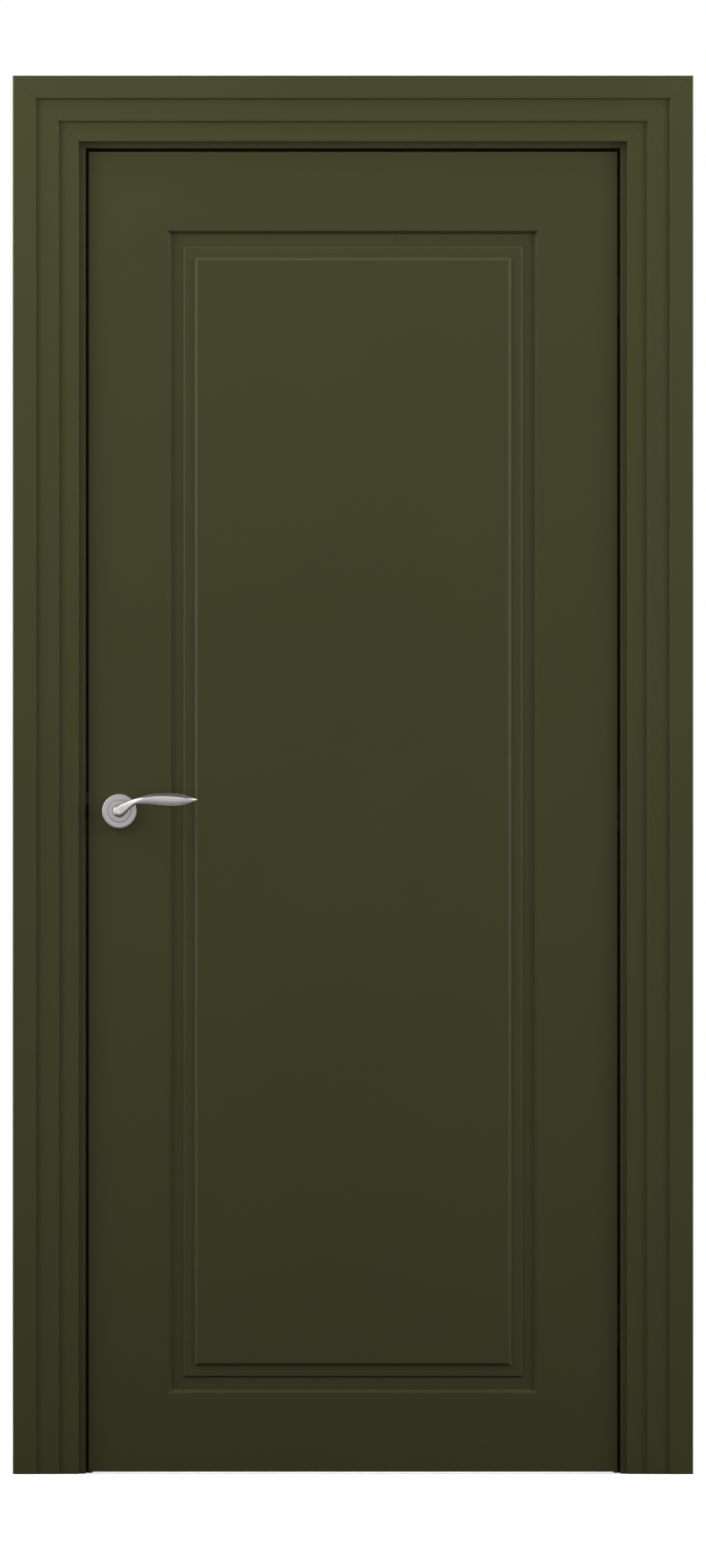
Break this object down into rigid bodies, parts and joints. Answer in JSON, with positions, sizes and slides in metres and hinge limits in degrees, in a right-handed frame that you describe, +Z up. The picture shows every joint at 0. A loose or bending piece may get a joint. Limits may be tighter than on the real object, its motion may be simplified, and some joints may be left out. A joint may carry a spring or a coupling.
{
  "type": "interior door",
  "caption": "Flush-hung interior door leaf with a fielded panel and lever handles, on concealed hinges in a frame with stepped mitred casings.",
  "frame": {"origin": "middle of the doorway at floor level, at mid-thickness of the leaf", "axes": "+Z up; +X toward the hinge side; +Y through the wall to the side the leaf closes against, so the leaf opens toward -Y"},
  "size_m": [1.03, 0.1594, 2.118],
  "materials": {
    "green_enamel": "satin enamel paint on fibreboard",
    "black_rubber": "matt",
    "black_plastic": "matt",
    "zinc_steel": "zinc plated",
    "black_steel": "black plated",
    "satin_steel": "satin",
    "satin_zinc_alloy": "satin plated",
    "satin_nickel": "satin nickel",
    "pine": "bare timber",
    "particle_board": "bare board"
  },
  "bodies": {
    "frame": {"jamb_left": "green_enamel", "jamb_right": "green_enamel", "jamb_head": "green_enamel", "frame_screws": "zinc_steel", "stop_left": "green_enamel", "stop_right": "green_enamel", "stop_head": "green_enamel", "seal_left": "black_rubber", "seal_right": "black_rubber", "seal_head": "black_rubber", "casing_front_left": "green_enamel", "casing_front_right": "green_enamel", "casing_front_head": "green_enamel", "casing_back_left": "green_enamel", "casing_back_right": "green_enamel", "casing_back_head": "green_enamel", "strike_plate": "satin_steel", "strike_box": "black_plastic", "strike_screws": "satin_steel", "hinge_frame_bottom": "satin_zinc_alloy", "hinge_frame_middle": "satin_zinc_alloy", "hinge_frame_top": "satin_zinc_alloy", "hinge_frame_screws": "satin_steel"},
    "leaf": {"skin_front": "green_enamel", "skin_back": "green_enamel", "stile_lock": "pine", "stile_hinge": "pine", "rail_top": "pine", "rail_bottom": "pine", "lock_block": "pine", "core": "particle_board", "latch_case": "zinc_steel", "latch_forend": "satin_steel", "latch_screws": "satin_steel", "hinge_leaf_bottom": "satin_zinc_alloy", "hinge_leaf_middle": "satin_zinc_alloy", "hinge_leaf_top": "satin_zinc_alloy", "hinge_leaf_screws": "satin_steel", "rose_base_front": "zinc_steel", "rose_base_back": "zinc_steel", "rose_front": "satin_nickel", "rose_back": "satin_nickel", "rose_bolts": "zinc_steel", "lever_springs": "zinc_steel", "latch_spring": "zinc_steel"},
    "arms": {"hinge_arms_bottom": "black_steel", "hinge_arms_middle": "black_steel", "hinge_arms_top": "black_steel"},
    "lever": {"lever_front": "satin_nickel", "lever_back": "satin_nickel", "spindle": "zinc_steel", "lever_grub_screws": "zinc_steel", "follower": "zinc_steel"},
    "latch": {"latch_bolt": "black_steel"}
  },
  "joints": [
    {"name": "leaf_swing", "type": "hinge", "parent": "frame", "child": "leaf", "pos_m": [0.4025, -0.023, 1.003], "axis": [0, 0, 1], "range_deg": [0, 105]},
    {"name": "hinge_arm_swing", "type": "hinge", "parent": "frame", "child": "arms", "pos_m": [0.4025, -0.023, 1.003], "axis": [0, 0, 1], "range_deg": [0, 52.5]},
    {"name": "lever_turn", "type": "hinge", "parent": "leaf", "child": "lever", "pos_m": [-0.354, 0, 1.004], "axis": [0, 1, 0], "range_deg": [0, 42], "stiffness_Nm_per_rad": 0.9, "springref_deg": -34.38},
    {"name": "latch_slide", "type": "slide", "parent": "leaf", "child": "latch", "axis": [1, 0, 0], "range_m": [0, 0.011], "deforming": ["latch_spring"]}
  ],
  "couplings": [
    {"joint": "hinge_arm_swing", "follows": "leaf_swing", "ratio": 0.5},
    {"joint": "latch_slide", "follows": "lever_turn", "m_per_rad": 0.015}
  ]
}
